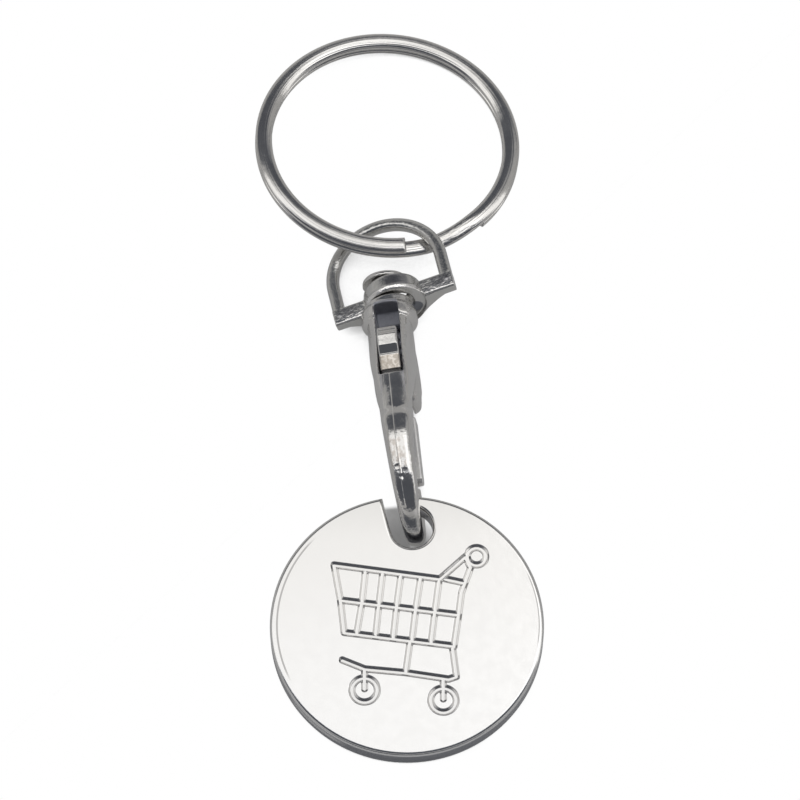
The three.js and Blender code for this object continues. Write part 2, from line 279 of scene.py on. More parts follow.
def seated(item, seat, body, nodes, material):
    item.data.transform(Matrix.Scale(0.001, 4) @ seat)
    item.data.polygons.foreach_set("use_smooth", np.ones(len(item.data.polygons), bool))
    item.data.materials.clear()
    item.data.materials.append(material)
    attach(item, body)
    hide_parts(*nodes)
    print(f"{item.name}: {len(item.data.polygons)} faces")
    return item


# the camera, worked out from the ellipse of the coin
view = {"place": (0.4015, -170.302, 330.650), "target": (0.4015, -1.133, -0.001),
        "lens": 190.083, "sensor": 36, "roll": -0.2816}
lens = bpy.data.cameras.new("view")
lens.lens = view["lens"]
lens.sensor_width = view["sensor"]
lens.clip_start, lens.clip_end = 0.01, 20
camera = objectOf("view", lens)
sight = (Vector(view["target"]) - Vector(view["place"])).to_track_quat("-Z", "Y").to_matrix().to_4x4()
camera.matrix_world = (Matrix.Translation(Vector(view["place"]) / 1000) @ sight
                       @ turnBy(view["roll"], "Z"))
scene.camera = camera


# floor, sky and lamps
studio = {
    "floorHalf": 4, "floorTone": 0.62, "floorShown": 1.0, "floorSeen": 0.14, "pocket": 0.006,
    "slotMiddle": (0.0009, -0.0231), "slotReach": (0.0113, 0.0118), "slotSides": (-0.0019, 0.0011, 0.0003),
    "room": 0.36, "dark": 0.09, "wall": 0.45, "boxStrength": 1.08,
    "box": (-1, 24.5, 2.5), "near": (-46, -4, 5), "low": (-104, -68, 5), "far": (33, 54, 3),
    "gap": (-62, -52, 3),
}


def makeFloor():
    half = studio["floorHalf"]
    corners = [(-half, -half, 0), (half, -half, 0), (half, half, 0), (-half, half, 0)]
    mesh = meshOf("floor", corners, [(0, 1, 2, 3)])
    floor = objectOf("floor", mesh)
    material = bpy.data.materials.new("pale floor")
    tree = newTree(material)
    grain = makeNode(tree, "ShaderNodeTexNoise", None, {"Scale": 60.0, "Detail": 3.0})
    tone = mixColour(grain * 0.02, (studio["floorTone"],) * 3, (0.8, 0.8, 0.8))
    matt = makeNode(tree, "ShaderNodeBsdfDiffuse", None, {"Color": tone})
    glow = makeNode(tree, "ShaderNodeEmission", None, {"Color": (1, 1, 1, 1), "Strength": 1.0})
    rays = makeNode(tree, "ShaderNodeLightPath").socket.node
    seen = [Wire(tree, rays.outputs[name]) for name in
            ("Is Camera Ray", "Is Glossy Ray", "Is Transmission Ray")]
    # deep pockets under the object keep their shadow
    clear = makeNode(tree, "ShaderNodeAmbientOcclusion", {"samples": 8},
                     {"Distance": studio["pocket"]}, out=1)
    x, y, _ = makeNode(tree, "ShaderNodeTexCoord", out=3).parts()
    # painted shadow: under the coin's slot, marked out by place, the floor's glow share is cut much harder by
    # the occlusion, so it shows darker
    middleX, middleY = studio["slotMiddle"]
    under = 1 - (((x - middleX) ** 2 + (y - middleY) ** 2) ** 0.5).step(*studio["slotReach"])
    under = under * x.inside(*studio["slotSides"])
    lit = clear.step(0.12, 0.42) * (1 - under) + (clear.step(0.62, 0.95) * 0.9 + 0.1) * under
    share = seen[0] * lit * studio["floorShown"] + (seen[1] + seen[2]) * studio["floorSeen"]
    both = makeNode(tree, "ShaderNodeMixShader", None, {0: share, 1: matt, 2: glow})
    finishTree(tree, "ShaderNodeOutputMaterial", both)
    mesh.materials.append(material)


def makeSky():
    # a long softbox just behind the zenith, dark cloth about the camera, below it and over the far side,
    # a lighter gap between the two in front, a grey room, and a bright wall low behind. Angles are degrees
    # from straight up towards the back.
    sky = bpy.data.worlds.new("studio")
    scene.world = sky
    tree = newTree(sky)
    x, y, z = makeNode(tree, "ShaderNodeTexCoord", out=0).parts()
    tilt = x.maths("ARCTAN2", y, z) * 57.3
    side = abs(x)
    box = tilt.inside(*studio["box"]) * x.step(-0.95, -0.7)
    near = tilt.inside(*studio["near"]) * (1 - side.step(0.72, 0.95))
    low = tilt.inside(*studio["low"]) * (1 - side.step(0.5, 0.8))
    slant = abs(x + 0.17 - x.maths("MAXIMUM", tilt - 47, 0.0) * 0.07) - 0.46
    far = tilt.inside(*studio["far"]) * (1 - slant.step(0.0, 0.14))
    wall = (1 - z.step(0.17, 0.27)) * y.step(0.1, 0.4) * (1 - x.step(0.2, 0.5))
    grey = studio["room"] - (1 - y.step(-0.9, -0.5)) * 0.18 + tilt.inside(*studio["gap"]) * 0.2
    dark = x.maths("MAXIMUM", x.maths("MAXIMUM", near, far), low)
    tone = grey * (1 - dark) + dark * studio["dark"]
    tone = tone * (1 - wall) + wall * studio["wall"]
    tone = tone * (1 - box) + box * studio["boxStrength"]
    tint = mixColour(dark, (1.0, 0.99, 0.975), (0.90, 0.95, 1.08))
    back = makeNode(tree, "ShaderNodeBackground", None, {"Color": tint, "Strength": tone})
    finishTree(tree, "ShaderNodeOutputWorld", back)


def makeLamp(name, place, size, power):
    light = bpy.data.lights.new(name, "AREA")
    light.shape = "RECTANGLE"
    light.size, light.size_y = size
    light.energy = power
    lamp = objectOf(name, light)
    lamp.location = place
    lamp.rotation_euler = (-Vector(place)).to_track_quat("-Z", "Y").to_euler()


makeFloor()
makeSky()
makeLamp("overhead", (0.35, 0.15, 0.9), (0.5, 0.5), 0.25)
print("stage set")


# finishes
def ownPlace(tree, seat):
    # the piece's own coordinates in millimetres, wherever a joint has moved it
    place = makeNode(tree, "ShaderNodeTexCoord", out=3)
    return place.make("ShaderNodeMapping", {"vector_type": "TEXTURE"},
                      {"Vector": place, "Location": seat.translation / 1000,
                       "Rotation": seat.to_euler("XYZ"), "Scale": (0.001,) * 3})


def nickel(name, seat, tint, roughness, waviness, grain=0.0, stainsAndPaintedLight=None, relief=None):
    # bright plate: slow waves, a fine skin, faint patches in gloss and colour, and painted shade darkening
    # the colour in concave hollows.
    # the masks passed in come from (x, y, z) with their colour and roughness, and hold real stains and wear
    # as well as painted shade, highlights and reflections; relief is a height in millimetres
    material = bpy.data.materials.new(name)
    tree = newTree(material)
    own = ownPlace(tree, seat)
    slow = own.make("ShaderNodeTexNoise", None, {"Vector": own, "Scale": 0.9, "Detail": 3.0})
    fine = own.make("ShaderNodeTexNoise", None, {"Vector": own, "Scale": 7.0, "Detail": 4.0})
    # painted shade: the colour darkens where pointiness finds the surface concave
    hollowShade = 1 - makeNode(tree, "ShaderNodeNewGeometry", out=7).step(0.40, 0.495)
    cloud = slow.step(0.35, 0.65)
    colour = mixColour(cloud, tuple(c * 0.97 for c in tint), tint)
    colour = mixColour(fine.step(0.55, 0.75) * 0.25, colour, tuple(c * 0.9 for c in tint))
    colour = mixColour(hollowShade * 0.6, colour, tuple(c * 0.5 for c in tint))
    gloss = roughness * 0.8 + cloud * roughness * 0.3 + fine * roughness * 0.2
    x, y, z = own.parts()
    for mask, markColour, dull in (stainsAndPaintedLight(x, y, z) if stainsAndPaintedLight else []):
        colour = mixColour(mask, colour, markColour)
        gloss = gloss * (1 - mask) + mask * dull
    height = slow * waviness + fine * (waviness * 0.08 + grain)
    if relief:
        height = height + relief(x, y, z)
    bump = own.make("ShaderNodeBump", None, {"Height": height, "Distance": 0.001, "Strength": 1.0})
    shader = own.make("ShaderNodeBsdfPrincipled", None,
                      {"Base Color": colour, "Roughness": gloss, "Metallic": 1.0, "Normal": bump})
    finishTree(tree, "ShaderNodeOutputMaterial", shader)
    return material


# coin
coin = {
    "radius": 11.625, "thick": 2.3, "edge": 0.34, "hole": (0.48, 8.75), "holeRadius": 1.8,
    "slotHalf": 1.325, "slotX": -0.05, "slotLean": 13.5, "pitch": 5.44, "place": (0.894, -24.095),
    "cell": 0.06, "gridFrom": (-7.5, -8.8), "gridSize": (15.5, 17), "gridTurn": -8.0,
    # the first tint on the next line is a painted dark reflection for the rim's wall
    "paintedWallReflection": (0.30, 0.31, 0.345), "tint": (0.885, 0.885, 0.885),
}

# across a pressed line: how far from its middle, and how deep
groove = [(0.348, 0.0), (0.322, 0.0), (0.303, -0.007), (0.287, -0.020), (0.263, -0.046), (0.140, -0.199),
          (0.121, -0.214), (0.101, -0.219), (0.070, -0.219)]

trolleyLines = [
    [(-6.19, 5.35), (2.82, 4.04)], [(-5.64, 2.19), (4.31, 0.83)], [(-5.32, -0.72), (3.91, -1.96)],
    [(-6.19, 5.35), (-5.64, 2.19), (-5.32, -0.72)],
    [(2.82, 4.04), (5.01, 6.04), (5.44, 5.06), (4.65, 2.83), (4.36, 0.65), (3.96, -2.02)],
    [(3.31, 4.04), (4.88, 3.68)],
    [(3.85, -2.19), (4.15, -4.68), (3.50, -4.90), (-0.15, -4.31), (-3.59, -3.96), (-5.48, -3.16)],
    [(0.24, -1.60), (-0.13, -4.26)],
    [(-3.53, 4.70), (-3.80, 2.07), (-4.24, -0.67)], [(-2.06, 4.52), (-2.37, 1.83), (-2.64, -0.79)],
    [(-0.52, 4.29), (-0.88, 1.54), (-1.16, -1.08)], [(1.16, 4.05), (0.74, 1.30), (0.42, -1.37)],
    [(2.74, 3.81), (2.36, 1.01), (2.04, -1.55)],
    [(-3.60, -4.10), (-3.60, -5.72)], [(3.03, -4.90), (3.03, -6.65)],
]
trolleyRounds = [((5.97, 6.07), 0.785), ((-3.60, -5.82), 1.065), ((3.03, -6.75), 1.065)]


def coinOutline(inset):
    # the same points at any inset: round the rim, down the slot, round the hole and up the slot again
    rim = coin["radius"] - inset
    bore = coin["holeRadius"] + inset
    half = coin["slotHalf"] + inset
    lean = math.radians(coin["slotLean"])
    along = np.array([-math.sin(lean), math.cos(lean)])
    across = np.array([math.cos(lean), math.sin(lean)])
    start = np.array([coin["slotX"], coin["hole"][1]])
    centre = np.array(coin["hole"])

    def meets(side, middle, radius):
        base = start + across * half * side
        b = along @ (base - middle)
        c = (base - middle) @ (base - middle) - radius ** 2
        return base + along * (-b + math.sqrt(max(b * b - c, 0)))

    rimPoints = [meets(side, np.zeros(2), rim) for side in (-1, 1)]
    borePoints = [meets(side, centre, bore) for side in (-1, 1)]
    first = math.atan2(*rimPoints[0][::-1])
    last = math.atan2(*rimPoints[1][::-1])
    points = [(rim * math.cos(a), rim * math.sin(a)) for a in np.linspace(first, last + 2 * math.pi, 300)]
    points += [tuple(p) for p in np.linspace(rimPoints[1], borePoints[1], 8)[1:-1]]
    a, b = (math.atan2(*(borePoints[k] - centre)[::-1]) for k in (1, 0))
    if b > a:
        b -= 2 * math.pi
    points += [tuple(centre + bore * np.array([math.cos(t), math.sin(t)])) for t in np.linspace(a, b, 60)]
    points += [tuple(p) for p in np.linspace(borePoints[0], rimPoints[0], 8)[1:-1]]
    return np.array(points)


def strokeDistance(points):
    # how far each point is from the middle of the nearest pressed line
    nearest = np.full(len(points), 9.0)
    for line in trolleyLines:
        for a, b in zip(line, line[1:]):
            a, b = np.array(a), np.array(b)
            run = b - a
            t = np.clip(((points - a) @ run) / (run @ run), 0, 1)
            nearest = np.minimum(nearest, np.linalg.norm(points - a - t[:, None] * run, axis=1))
    for centre, radius in trolleyRounds:
        nearest = np.minimum(nearest, abs(np.linalg.norm(points - np.array(centre), axis=1) - radius))
    return nearest


def grooveContours(flat, heights, edges):
    # adds the outlines of the pressed lines at every depth, walked over a grid square by square
    cell = coin["cell"]
    spin = math.radians(coin["gridTurn"])
    axes = np.array([[math.cos(spin), math.sin(spin)], [-math.sin(spin), math.cos(spin)]])
    columns, rows = (int(size / cell) for size in coin["gridSize"])
    left, bottom = coin["gridFrom"]
    i, j = np.meshgrid(np.arange(columns + 1), np.arange(rows + 1), indexing="ij")
    grid = np.stack([i.ravel() * cell + left, j.ravel() * cell + bottom], 1) @ axes
    grid = grid.reshape(columns + 1, rows + 1, 2)
    gap = strokeDistance(grid.reshape(-1, 2)).reshape(columns + 1, rows + 1)
    around = ((0, 0), (1, 0), (1, 1), (0, 1))
    for level, height in groove:
        near = gap < level
        mixed = near[:-1, :-1].astype(int) + near[1:, :-1] + near[:-1, 1:] + near[1:, 1:]
        known = {}
        for a, b in np.argwhere((mixed > 0) & (mixed < 4)):
            corners = [(int(a) + u, int(b) + v) for u, v in around]
            crossed = []
            for k in range(4):
                one, two = corners[k], corners[(k + 1) % 4]
                if near[one] == near[two]:
                    continue
                key = (min(one, two), max(one, two))
                if key not in known:
                    share = (level - gap[key[0]]) / (gap[key[1]] - gap[key[0]])
                    share = min(max(share, 0.02), 0.98)
                    known[key] = len(flat)
                    flat.append(tuple(grid[key[0]] * (1 - share) + grid[key[1]] * share))
                    heights.append(height)
                crossed.append(known[key])
            edges.append((crossed[0], crossed[1]))
            if len(crossed) == 4:
                edges.append((crossed[2], crossed[3]))


def makeCoin():
    half = coin["thick"] / 2
    edge = coin["edge"]
    levels = [(edge * (1 - math.sin(math.radians(a))), half - edge * (1 - math.cos(math.radians(a))))
              for a in (0, 12, 28, 45, 62, 78, 90)]
    levels = levels + [(0, z) for z in (half - edge - 0.3, -(half - edge - 0.3))] \
        + [(inset, -z) for inset, z in reversed(levels)]
    count = len(coinOutline(0))
    rings = [np.column_stack([coinOutline(inset), np.full(count, z)]) for inset, z in levels]
    points = [tuple(p) for ring in rings for p in ring]
    faces = []
    for r in range(len(rings) - 1):
        for k in range(count):
            after = (k + 1) % count
            faces.append((r * count + k, r * count + after, (r + 1) * count + after, (r + 1) * count + k))
    faces.append(tuple((len(rings) - 1) * count + k for k in range(count)))
    # the face is filled in flat between its outline, a ring just inside it and the grooves' outlines
    flat = [tuple(p) for p in rings[0][:, :2]] + [tuple(p) for p in coinOutline(edge + 0.05)]
    heights = [0.0] * len(flat)
    edges = [(k, (k + 1) % count) for k in range(count)]
    edges += [(count + k, count + (k + 1) % count) for k in range(count)]
    grooveContours(flat, heights, edges)
    found, _, triangles, source, _, _ = delaunay_2d_cdt([Vector(p) for p in flat], edges, [], 0, 1e-7)
    places = np.array([p[:] for p in found])
    depths = np.interp(strokeDistance(places), *zip(*[(d, h) for d, h in reversed(groove)]))
    own = []
    for k, origin in enumerate(source):
        if origin and origin[0] < count:
            own.append(origin[0])
            continue
        height = heights[origin[0]] if origin else depths[k]
        own.append(len(points))
        points.append((places[k][0], places[k][1], half + height))
    middles = np.array([places[list(face)].mean(0) for face in triangles])
    outer = np.array(flat[:count])
    inside = np.zeros(len(middles), bool)
    for (x1, y1), (x2, y2) in zip(outer, np.roll(outer, -1, 0)):
        crosses = (y1 > middles[:, 1]) != (y2 > middles[:, 1])
        with np.errstate(divide="ignore", invalid="ignore"):
            at = (x2 - x1) * (middles[:, 1] - y1) / (y2 - y1) + x1
        inside ^= crosses & (middles[:, 0] < at)
    for face, keep in zip(triangles, inside):
        corners = [own[k] for k in face]
        if keep and len(set(corners)) == len(corners):
            faces.append(tuple(corners))
    return turnOutwards(meshOf("coin", points, faces))


def coinPaintedLight(x, y, z):
    # painted reflection: the rim's wall, the slot and the hole are tinted dark blue-grey for the dark floor
    # and shadow they reflect
    wall = z.inside(-0.74, 0.74, 0.12)
    angle = y.maths("ARCTAN2", y, x) * 57.3
    across = y.maths("ARCTAN2", y * -1, x * -1) * 57.3
    reach = (x * x + y * y) ** 0.5
    # a streak low on the left is kept clear of the painted dark reflection, so the rim shows bright there
    reflectionGap = angle.inside(-141, -124, 9) * z.inside(0.0, 0.55, 0.2)
    # painted reflection: thin dark lines on the face beside the rim, for the dark bands along its rounded
    # edge
    rimReflectionLines = reach.inside(10.96, 11.07, 0.04) * across.inside(-38, 20, 8)
    rimReflectionLines = rimReflectionLines + reach.inside(11.18, 11.25, 0.03) * angle.inside(-6, 20, 6)
    # painted shade: the pressed lines are coloured darker down in their grooves
    grooveShade = z.inside(0.94, 1.11, 0.02) * (1 - reach.step(11.2, 11.3))
    # painted shade: the face is darker towards its far edge, and darker still over its last few millimetres
    return [(grooveShade, (0.70, 0.695, 0.69), 0.16), (y.step(-9, 12), (0.80, 0.792, 0.78), 0.14),
            (y.step(7, 12) * 0.6, (0.68, 0.675, 0.66), 0.14),
            (rimReflectionLines * z.step(1.0, 1.1), (0.46, 0.455, 0.45), 0.2),
            (wall * (1 - reflectionGap), coin["paintedWallReflection"], 0.2)]


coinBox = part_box("coin")
coinSeat = seatAt((*coin["place"], (coinBox[0][2] + coinBox[1][2]) * 500), pitch=coin["pitch"])
coinNickel = nickel("stamped nickel", coinSeat, coin["tint"], 0.14, 0.01, stainsAndPaintedLight=coinPaintedLight)
seated(objectOf("coin_plate", makeCoin()), coinSeat, "coin", ["coin"], coinNickel)


# split ring
ring = {"diameter": 23.85, "wide": 1.5, "thick": 0.6, "fullness": 2.0, "gap": 0.06, "twist": 11,
        "firstEnd": -82, "stepArc": 38, "rampArc": 30, "steps": 260, "pitch": -4.1, "lean": 4.2}


def makeSplitRing():
    section = oval(ring["wide"], ring["thick"], 40, ring["fullness"])
    level = (ring["thick"] + ring["gap"]) / 2
    middle = (ring["diameter"] - ring["wide"]) / 2
    full = 360 - ring["stepArc"]
    sweep = 2 * full + ring["stepArc"]
    steps = round(sweep / 360 * ring["steps"])
    rings = []
    for k in range(steps + 1):
        gone = sweep * k / steps
        a = math.radians(ring["firstEnd"] - gone)
        t = min(max((gone - full) / ring["rampArc"], 0), 1)
        height = level * (1 - 2 * t * t * (3 - 2 * t))
        twist = math.radians(-ring["twist"] * math.sin(a))
        c, s = math.cos(twist), math.sin(twist)
        twisted = section @ np.array([[c, -s], [s, c]])
        rings.append([((middle + u) * math.cos(a), (middle + u) * math.sin(a), height + w)
                      for u, w in twisted])
    return loft("split ring", rings)


def ringLines(x, y, z):
    # fine lines drawn along the strip
    reach = (x * x + y * y) ** 0.5
    return noiseAt((reach, z), 7.0, 3.0, settings={"noise_dimensions": "2D"}) * 0.022


ringSeat = seatOn("ring_turn", (0, 0, 0), pitch=ring["pitch"], lean=ring["lean"])
ringNickel = nickel("plated strip", ringSeat, (0.82, 0.808, 0.79), 0.12, 0.012, relief=ringLines)
seated(objectOf("ring_wire", makeSplitRing()), ringSeat, "ring", ["split_ring"], ringNickel)


# swivel loop
loop = {
    "wide": 11.2, "high": 9.6, "wire": 1.15, "thick": 1.1, "edge": 0.17, "barHigh": 1.65, "barBelow": 0.85,
    "collar": 2.6, "collarTop": 1.25, "flare": 2.68, "foot": -0.55, "bore": 1.7, "hubRoom": 2.72,
    "slantFrom": -0.28, "slant": 0.21, "yaw": 11.7, "pitch": -8.0, "lean": -14.7, "voxel": 0.065, "smooth": 5,
}

# out along a web between the collar and the bar: x, low and high edge, back and front
webRows = [
    (1.0, -1.25, 0.25, -2.70, 0.40), (1.7, -1.12, 0.25, -2.36, 0.42), (2.1, -1.02, 0.20, -2.06, 0.43),
    (2.7, -0.95, 0.15, -1.60, 0.44), (3.2, -0.92, 0.03, -1.26, 0.45), (3.7, -0.89, -0.05, -0.95, 0.45),
    (4.2, -0.86, -0.13, -0.70, 0.45), (4.7, -0.82, -0.28, -0.50, 0.45), (5.15, -0.74, -0.40, -0.42, 0.42),
]


def makeLoop():
    half = loop["wide"] / 2
    floor = -loop["barBelow"]
    legTop = floor + loop["high"] - half
    wire = loop["wire"]
    centreline = [(-half + wire / 2, floor + loop["barHigh"] / 2)]
    centreline += [(-half + wire / 2, y) for y in np.linspace(floor + loop["barHigh"] / 2 + 0.4, legTop, 8)]
    centreline += [((half - wire / 2) * math.cos(a), legTop + (half - wire / 2) * math.sin(a))
                   for a in np.linspace(math.pi, 0, 60)[1:-1]]
    centreline += [(-x, y) for x, y in centreline[8::-1]]
    centreline = np.array(centreline)
    section = oval(wire, loop["thick"], 32, 2.3)
    rings = []
    for k, (x, y) in enumerate(centreline):
        run = centreline[min(k + 1, len(centreline) - 1)] - centreline[max(k - 1, 0)]
        run = run / np.linalg.norm(run)
        out = np.array([-run[1], run[0]])
        rings.append([(x + out[0] * u, y + out[1] * u, w) for u, w in section])
    bow = loft("bow", rings)
    # the bar's front lower edge has a narrow slanted face
    barSection = [(u, w - max(0, loop["slantFrom"] - u) * loop["slant"] if w > 0 else w)
                  for u, w in roundBox(loop["barHigh"], loop["thick"], loop["edge"], 5)]
    bar = loft("bar", [[(x, floor + loop["barHigh"] / 2 + u, w) for u, w in barSection]
                       for x in np.linspace(-half + 0.02, half - 0.02, 9)])
    r, flare, foot, top = loop["collar"], loop["flare"], loop["foot"], loop["collarTop"]
    collar = turned("collar", [
        (0.01, foot), (flare - 0.16, foot), (flare - 0.10, foot + 0.03), (flare, foot + 0.36),
        (flare - 0.01, foot + 0.39), (r, foot + 0.5),
        *arc(r - 0.42, top - 0.42, 0.42, 0, 90, 6), (0.01, top)], 72)
    webs = [loft("web", [[(side * x, (low + high) / 2 + u, (back + front) / 2 + w)
                          for u, w in oval(high - low, front - back, 28, 4.5)]
                         for x, low, high, back, front in between(webRows, 24)]) for side in (-1, 1)]
    bore = turned("bore", [(0.01, -3), (loop["bore"], -3), (loop["bore"], 3), (0.01, 3)], 64)
    room = loop["hubRoom"]
    below = turned("below", [(0.01, -5.0), (room, -5.0), (room, foot - 0.012), (0.01, foot - 0.012)], 96)
    return cast("loop_casting", [bow, bar, collar, *webs], [bore, below], loop["voxel"], loop["smooth"])


# hook
hook = {
    "shoulder": 2.5, "shoulderDeep": 2.0, "shoulderRound": 0.7, "neck": 2.05,
    "long": 22.9, "high": 8.0, "belly": -3.55, "wide": 4.1, "slot": 2.1, "slotRoof": 0.5,
    "pivot": (-8.55, -1.75), "pin": 0.5, "yaw": 5.35, "pitch": -2.5, "lean": -8.5,
    "studRadius": 0.85, "head": 2.05, "headThick": 0.5, "headFoot": 2.55, "bore": 0.55,
    "boss": ((2.3, 9), (2.3, 0.16), (2.22, 0.05), (2.05, 0.0), (0.01, 0.0)), "bossGap": 0.09,
    "bossFoot": -0.45, "voxel": 0.085, "smooth": 6,
}

# down the arm: along, up, wide and thick as shares of the hook's size, then how square the section is
armRows = [
    (.060, .475, .950, .500, 2.4), (.180, .505, .980, .560, 2.4), (.270, .580, .960, .580, 2.5),
    (.360, .678, .850, .475, 3.2), (.450, .781, .740, .303, 2.3), (.500, .809, .705, .279, 2.05),
    (.535, .824, .685, .271, 2.2), (.570, .844, .665, .278, 3.3), (.610, .853, .640, .281, 3.2),
    (.650, .855, .615, .280, 2.9), (.740, .825, .560, .255, 2.9), (.830, .746, .505, .232, 3.2),
    (.920, .580, .448, .214, 2.5), (.962, .345, .420, .205, 2.4), (.930, .175, .410, .215, 2.4),
    (.870, .098, .400, .193, 2.4), (.800, .112, .400, .180, 2.4), (.738, .146, .390, .168, 2.4),
]
cheekRows = [
    (.125, .215, .580, .850), (.178, .150, .620, .930), (.250, .085, .640, .970), (.320, .050, .640, .980),
    (.375, .060, .600, .950), (.407, .105, .500, .870), (.423, .180, .400, .700),
]
slotRows = [(.022, .510), (.072, .440), (.072, .280), (.250, .235), (.300, .130), (.315, -.080),
            (.540, -.080), (.540, .380), (.446, .490), (.398, .690), (.362, .850)]


hookSeat = seatOn("gate_open", (0, *hook["pivot"]), yaw=hook["yaw"], pitch=hook["pitch"], lean=hook["lean"])
loopSeat = seatOn("loop_swivel", (0, 0.35, 0), yaw=loop["yaw"], pitch=loop["pitch"], lean=loop["lean"])


def down(share):
    return -share * hook["long"]


def up(share):
    return hook["belly"] + share * hook["high"]


def pivotBore(radius):
    y, z = hook["pivot"]
    return loft("bore", [[(x, y + radius * math.cos(a), z + radius * math.sin(a))
                          for a in np.arange(32) * math.pi / 16] for x in (-4, 4)])


def makeArm():
    rows = between(armRows, 110)
    rings = []
    for k, (along, height, wide, thick, square) in enumerate(rows):
        before, after = rows[max(k - 1, 0)], rows[min(k + 1, len(rows) - 1)]
        run = np.array([down(after[0]) - down(before[0]), up(after[1]) - up(before[1])])
        run = run / np.linalg.norm(run)
        side = np.array([run[1], -run[0]])
        rings.append([(u, down(along) + side[0] * w, up(height) + side[1] * w)
                      for u, w in oval(wide * hook["wide"], thick * hook["high"], 48, square)])
    return loft("arm", rings)


def makeHook():
    cheeks = loft("cheeks", [[(u, down(along), up((low + high) / 2) + w)
                              for u, w in oval(wide * hook["wide"], (high - low) * hook["high"], 48, 2.8)]
                             for along, low, high, wide in between(cheekRows, 40)])
    r, e, deep, neck = hook["shoulder"], hook["shoulderRound"], hook["shoulderDeep"], hook["neck"]
    headFoot, head = hook["headFoot"], hook["head"]
    shoulder = turned("shoulder", [
        (0.01, -deep - neck), (neck - e, -deep - neck), (neck, -deep), *arc(r - e, e - deep, e, -60, 0, 6),
        *arc(r - e, -e, e, 0, 90, 8), (hook["studRadius"], 0), (hook["studRadius"], headFoot),
        (head, headFoot),
        *arc(head - 0.25, headFoot + hook["headThick"] - 0.25, 0.25, 0, 90, 5),
        (0.01, headFoot + hook["headThick"] + 0.06)], 72)
    outline = [(down(along), up(height)) for along, height in slotRows]
    outline += [(down(slotRows[-1][0]), up(1) + 1), (-hook["slotRoof"], up(1) + 1)]
    slot = slab("slot", outline, hook["slot"])
    # the collar rests on a low boss, whose top is as slanted as the collar lies
    lies = hookSeat.inverted() @ loopSeat
    normal = (lies.to_3x3() @ Vector((0, 1, 0))).normalized()
    foot = lies @ Vector((0, loop["foot"] - hook["bossGap"], 0))
    boss = []
    for radius, drop in hook["boss"]:
        ring = []
        for a in np.arange(64) * math.pi / 32:
            x, z = radius * math.cos(a), radius * math.sin(a)
            top = foot.y - (normal.x * (x - foot.x) + normal.z * (z - foot.z)) / normal.y
            ring.append((x, max(top - drop, hook["bossFoot"]), z))
        boss.append(ring)
    adds = [makeArm(), cheeks, shoulder, loft("boss", boss)]
    return cast("hook_casting", adds, [slot, pivotBore(hook["bore"])], hook["voxel"], hook["smooth"])


def slotShadeAndSmudge(x, y, z):
    # between the cheeks the slot is rougher, and painted shade makes it dark and blue-grey
    slotShade = (1 - abs(x).step(1.0, 1.12)) * y.inside(-12.3, -0.3, 0.2) * (1 - z.step(3.45, 3.75))
    # a warm smudge further down the arm
    smudge = noiseAt((x, y * 0.6, z), 2.6, 3.0).step(0.42, 0.6)
    warm = y.inside(-17.6, -15.4, 0.4) * x.inside(-0.75, 0.35, 0.2) * z.step(3.0, 3.5) * smudge
    return [(warm * 0.7, (0.50, 0.45, 0.41), 0.2), (slotShade, (0.60, 0.61, 0.66), 0.6)]


def hookRelief(x, y, z):
    # the mould's parting ridge along the top of the arm, and three small dents beside it
    height = (1 - abs(x + 0.12).step(0.0, 0.13)) * y.inside(-20.6, -8.6, 0.4) * z.step(1.4, 2.0) * 0.035
    dents = ((-0.35, -17.7, 0.3, 0.022), (-0.1, -18.6, 0.28, 0.03), (0.35, -18.1, 0.35, 0.014))
    for dentX, dentY, reach, deep in dents:
        off = ((x - dentX) ** 2 + (y - dentY) ** 2) ** 0.5
        height = height - (1 - off.step(0.0, reach)) * z.step(1.4, 2.0) * deep
    # faint streaks along its length
    return height + noiseAt((x * 3.2, y * 0.35, z * 3.2), 1.0, 3.0) * 0.03


def loopMottleShadeAndSheen(x, y, z):
    # painted light on the loop: a dark reflection painted on the bar's rough, mottled flats and on a patch of
    # the collar, painted shade in the hollow under the hub, and painted highlights along the front edges
    rough = noiseAt((x, y, z), 4.5, 4.0)
    # painted reflection: the bar's top flats are coloured dark, mottled by a rough casting skin
    flatsMottleAndReflection = z.step(0.46, 0.52) * abs(x).inside(3.75, 5.25, 0.15) * y.inside(-0.32, 0.5, 0.12)
    # painted reflection: a dark patch on the collar
    collarReflectionPatch = z.step(1.6, 2.0) * x.inside(0.1, 1.8, 0.25) * y.inside(-0.15, 0.95, 0.12)
    reach = (x * x + z * z) ** 0.5
    # painted highlights: pale colour along the bar's front lower edges and round the collar's foot
    edges = y.inside(-0.74, -0.26, 0.05) * z.inside(0.4, 0.56, 0.03) * abs(x).step(2.8, 3.0)
    edges = edges + y.inside(-0.53, -0.19, 0.03) * reach.step(2.52, 2.57) * z.step(0.6, 0.9)
    # painted shade in the hollow under the hub, where the flange overhangs the hook's shoulder
    hollowShade = ((x - 1.5) ** 2 + ((y + 0.56) * 2) ** 2 + (z + 1.1) ** 2) ** 0.5
    return [(flatsMottleAndReflection * (0.5 + rough.step(0.42, 0.58) * 0.4), (0.30, 0.30, 0.32), 0.25),
            (1 - hollowShade.step(0.68, 0.8), (0.26, 0.27, 0.30), 0.3), (collarReflectionPatch * 0.9, (0.36, 0.36, 0.38), 0.2),
            (edges, (0.95, 0.94, 0.93), 0.12)]


